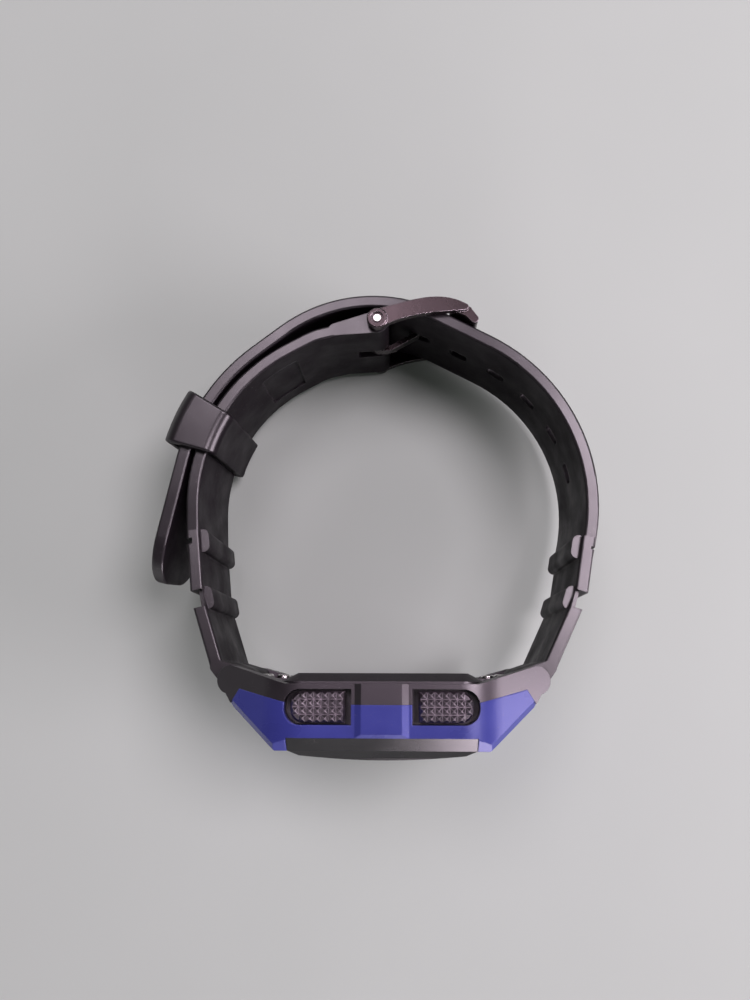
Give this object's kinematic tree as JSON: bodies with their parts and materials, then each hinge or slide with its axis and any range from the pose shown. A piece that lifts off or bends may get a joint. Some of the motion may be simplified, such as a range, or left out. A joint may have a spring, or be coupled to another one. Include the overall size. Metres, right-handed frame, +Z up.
{
  "type": "golf gps watch",
  "caption": "Digital sports watch for golf with a faceted blue bezel, side push buttons and a buckled black resin strap, lying on its side.",
  "frame": {"origin": "on the surface that the watch lies on, under the middle of its bounding box", "axes": "+Z up from the surface, close to the 3 o'clock side; +Y from the dial towards the wrist and buckle; +X towards 6 o'clock. The case leans 11.0 degrees about X and the strap's loop 5.5."},
  "size_m": [0.0676, 0.0726, 0.0395],
  "materials": {
    "blue_resin": "satin moulded resin",
    "black_resin": "matte moulded resin",
    "strap_resin": "matte with a soft sheen",
    "gloss_black": "polished",
    "button_resin": "matte",
    "crystal": "clear polished",
    "gasket_rubber": "smooth",
    "black_plated": "black plated, semi-gloss",
    "steel": "polished",
    "gold_plated": "gold plated",
    "mask_print": "matte print",
    "lcd": "grey-green liquid crystal",
    "light_guide": "milky",
    "frame_plastic": "moulded",
    "board_green": "solder mask",
    "cell_silver": "foil pouch",
    "antenna_ceramic": "ceramic",
    "tin": "tin plated"
  },
  "bodies": {
    "watch": {"mid_case": "black_resin", "bezel": "blue_resin", "display_frame": "gloss_black", "crystal_gasket": "gasket_rubber", "crystal": "crystal", "dial_mask": "mask_print", "lcd_panel": "lcd", "backlight_panel": "light_guide", "module_frame": "frame_plastic", "main_board": "board_green", "battery": "cell_silver", "gps_antenna": "antenna_ceramic", "gps_shield_can": "tin", "display_connector": "gasket_rubber", "side_switches": "tin", "buzzer_disc": "gold_plated", "case_back": "black_resin", "case_back_gasket": "gasket_rubber", "case_back_screws": "steel", "charging_contacts": "gold_plated", "button_2_seal": "gasket_rubber", "button_2_spring": "steel", "button_4_seal": "gasket_rubber", "button_4_spring": "steel", "button_8_seal": "gasket_rubber", "button_8_spring": "steel", "button_10_seal": "gasket_rubber", "button_10_spring": "steel", "strap_hole_side": "strap_resin", "strap_buckle_side": "strap_resin", "lug_bar_12": "steel", "lug_bar_6": "steel", "buckle_bar": "steel"},
    "keeper": {"keeper": "strap_resin"},
    "buckle_frame": {"buckle_frame": "black_plated"},
    "buckle_tongue": {"buckle_tongue": "black_plated"},
    "button_2": {"button_2_cap": "button_resin", "button_2_stem": "steel", "button_2_clip": "steel"},
    "button_4": {"button_4_cap": "button_resin", "button_4_stem": "steel", "button_4_clip": "steel"},
    "button_8": {"button_8_cap": "button_resin", "button_8_stem": "steel", "button_8_clip": "steel"},
    "button_10": {"button_10_cap": "button_resin", "button_10_stem": "steel", "button_10_clip": "steel"}
  },
  "joints": [
    {"name": "button_2_press", "type": "slide", "parent": "watch", "child": "button_2", "axis": [0, -0.1902, -0.9817], "range_m": [0, 0.0009], "stiffness_N_per_m": 800, "springref_m": -0.0008, "deforming": ["button_2_spring"]},
    {"name": "button_4_press", "type": "slide", "parent": "watch", "child": "button_4", "axis": [0, -0.1902, -0.9817], "range_m": [0, 0.0009], "stiffness_N_per_m": 800, "springref_m": -0.0008, "deforming": ["button_4_spring"]},
    {"name": "button_8_press", "type": "slide", "parent": "watch", "child": "button_8", "axis": [0, 0.1902, 0.9817], "range_m": [0, 0.0009], "stiffness_N_per_m": 800, "springref_m": -0.0008, "deforming": ["button_8_spring"]},
    {"name": "button_10_press", "type": "slide", "parent": "watch", "child": "button_10", "axis": [0, 0.1902, 0.9817], "range_m": [0, 0.0009], "stiffness_N_per_m": 800, "springref_m": -0.0008, "deforming": ["button_10_spring"]},
    {"name": "keeper_slide", "type": "hinge", "parent": "watch", "child": "keeper", "pos_m": [-0.00069, 0.00377, 0.0143], "axis": [0, 0.0952, 0.9955], "range_deg": [-21, 7]},
    {"name": "buckle_turn", "type": "hinge", "parent": "watch", "child": "buckle_frame", "pos_m": [0.00096, 0.03114, 0.01168], "axis": [0, 0.0952, 0.9955], "range_deg": [0, 2]},
    {"name": "tongue_turn", "type": "hinge", "parent": "watch", "child": "buckle_tongue", "pos_m": [0.00096, 0.03114, 0.01168], "axis": [0, 0.0952, 0.9955], "range_deg": [0, 2]}
  ],
  "couplings": [
    {"joint": "tongue_turn", "follows": "buckle_turn", "ratio": 1}
  ]
}
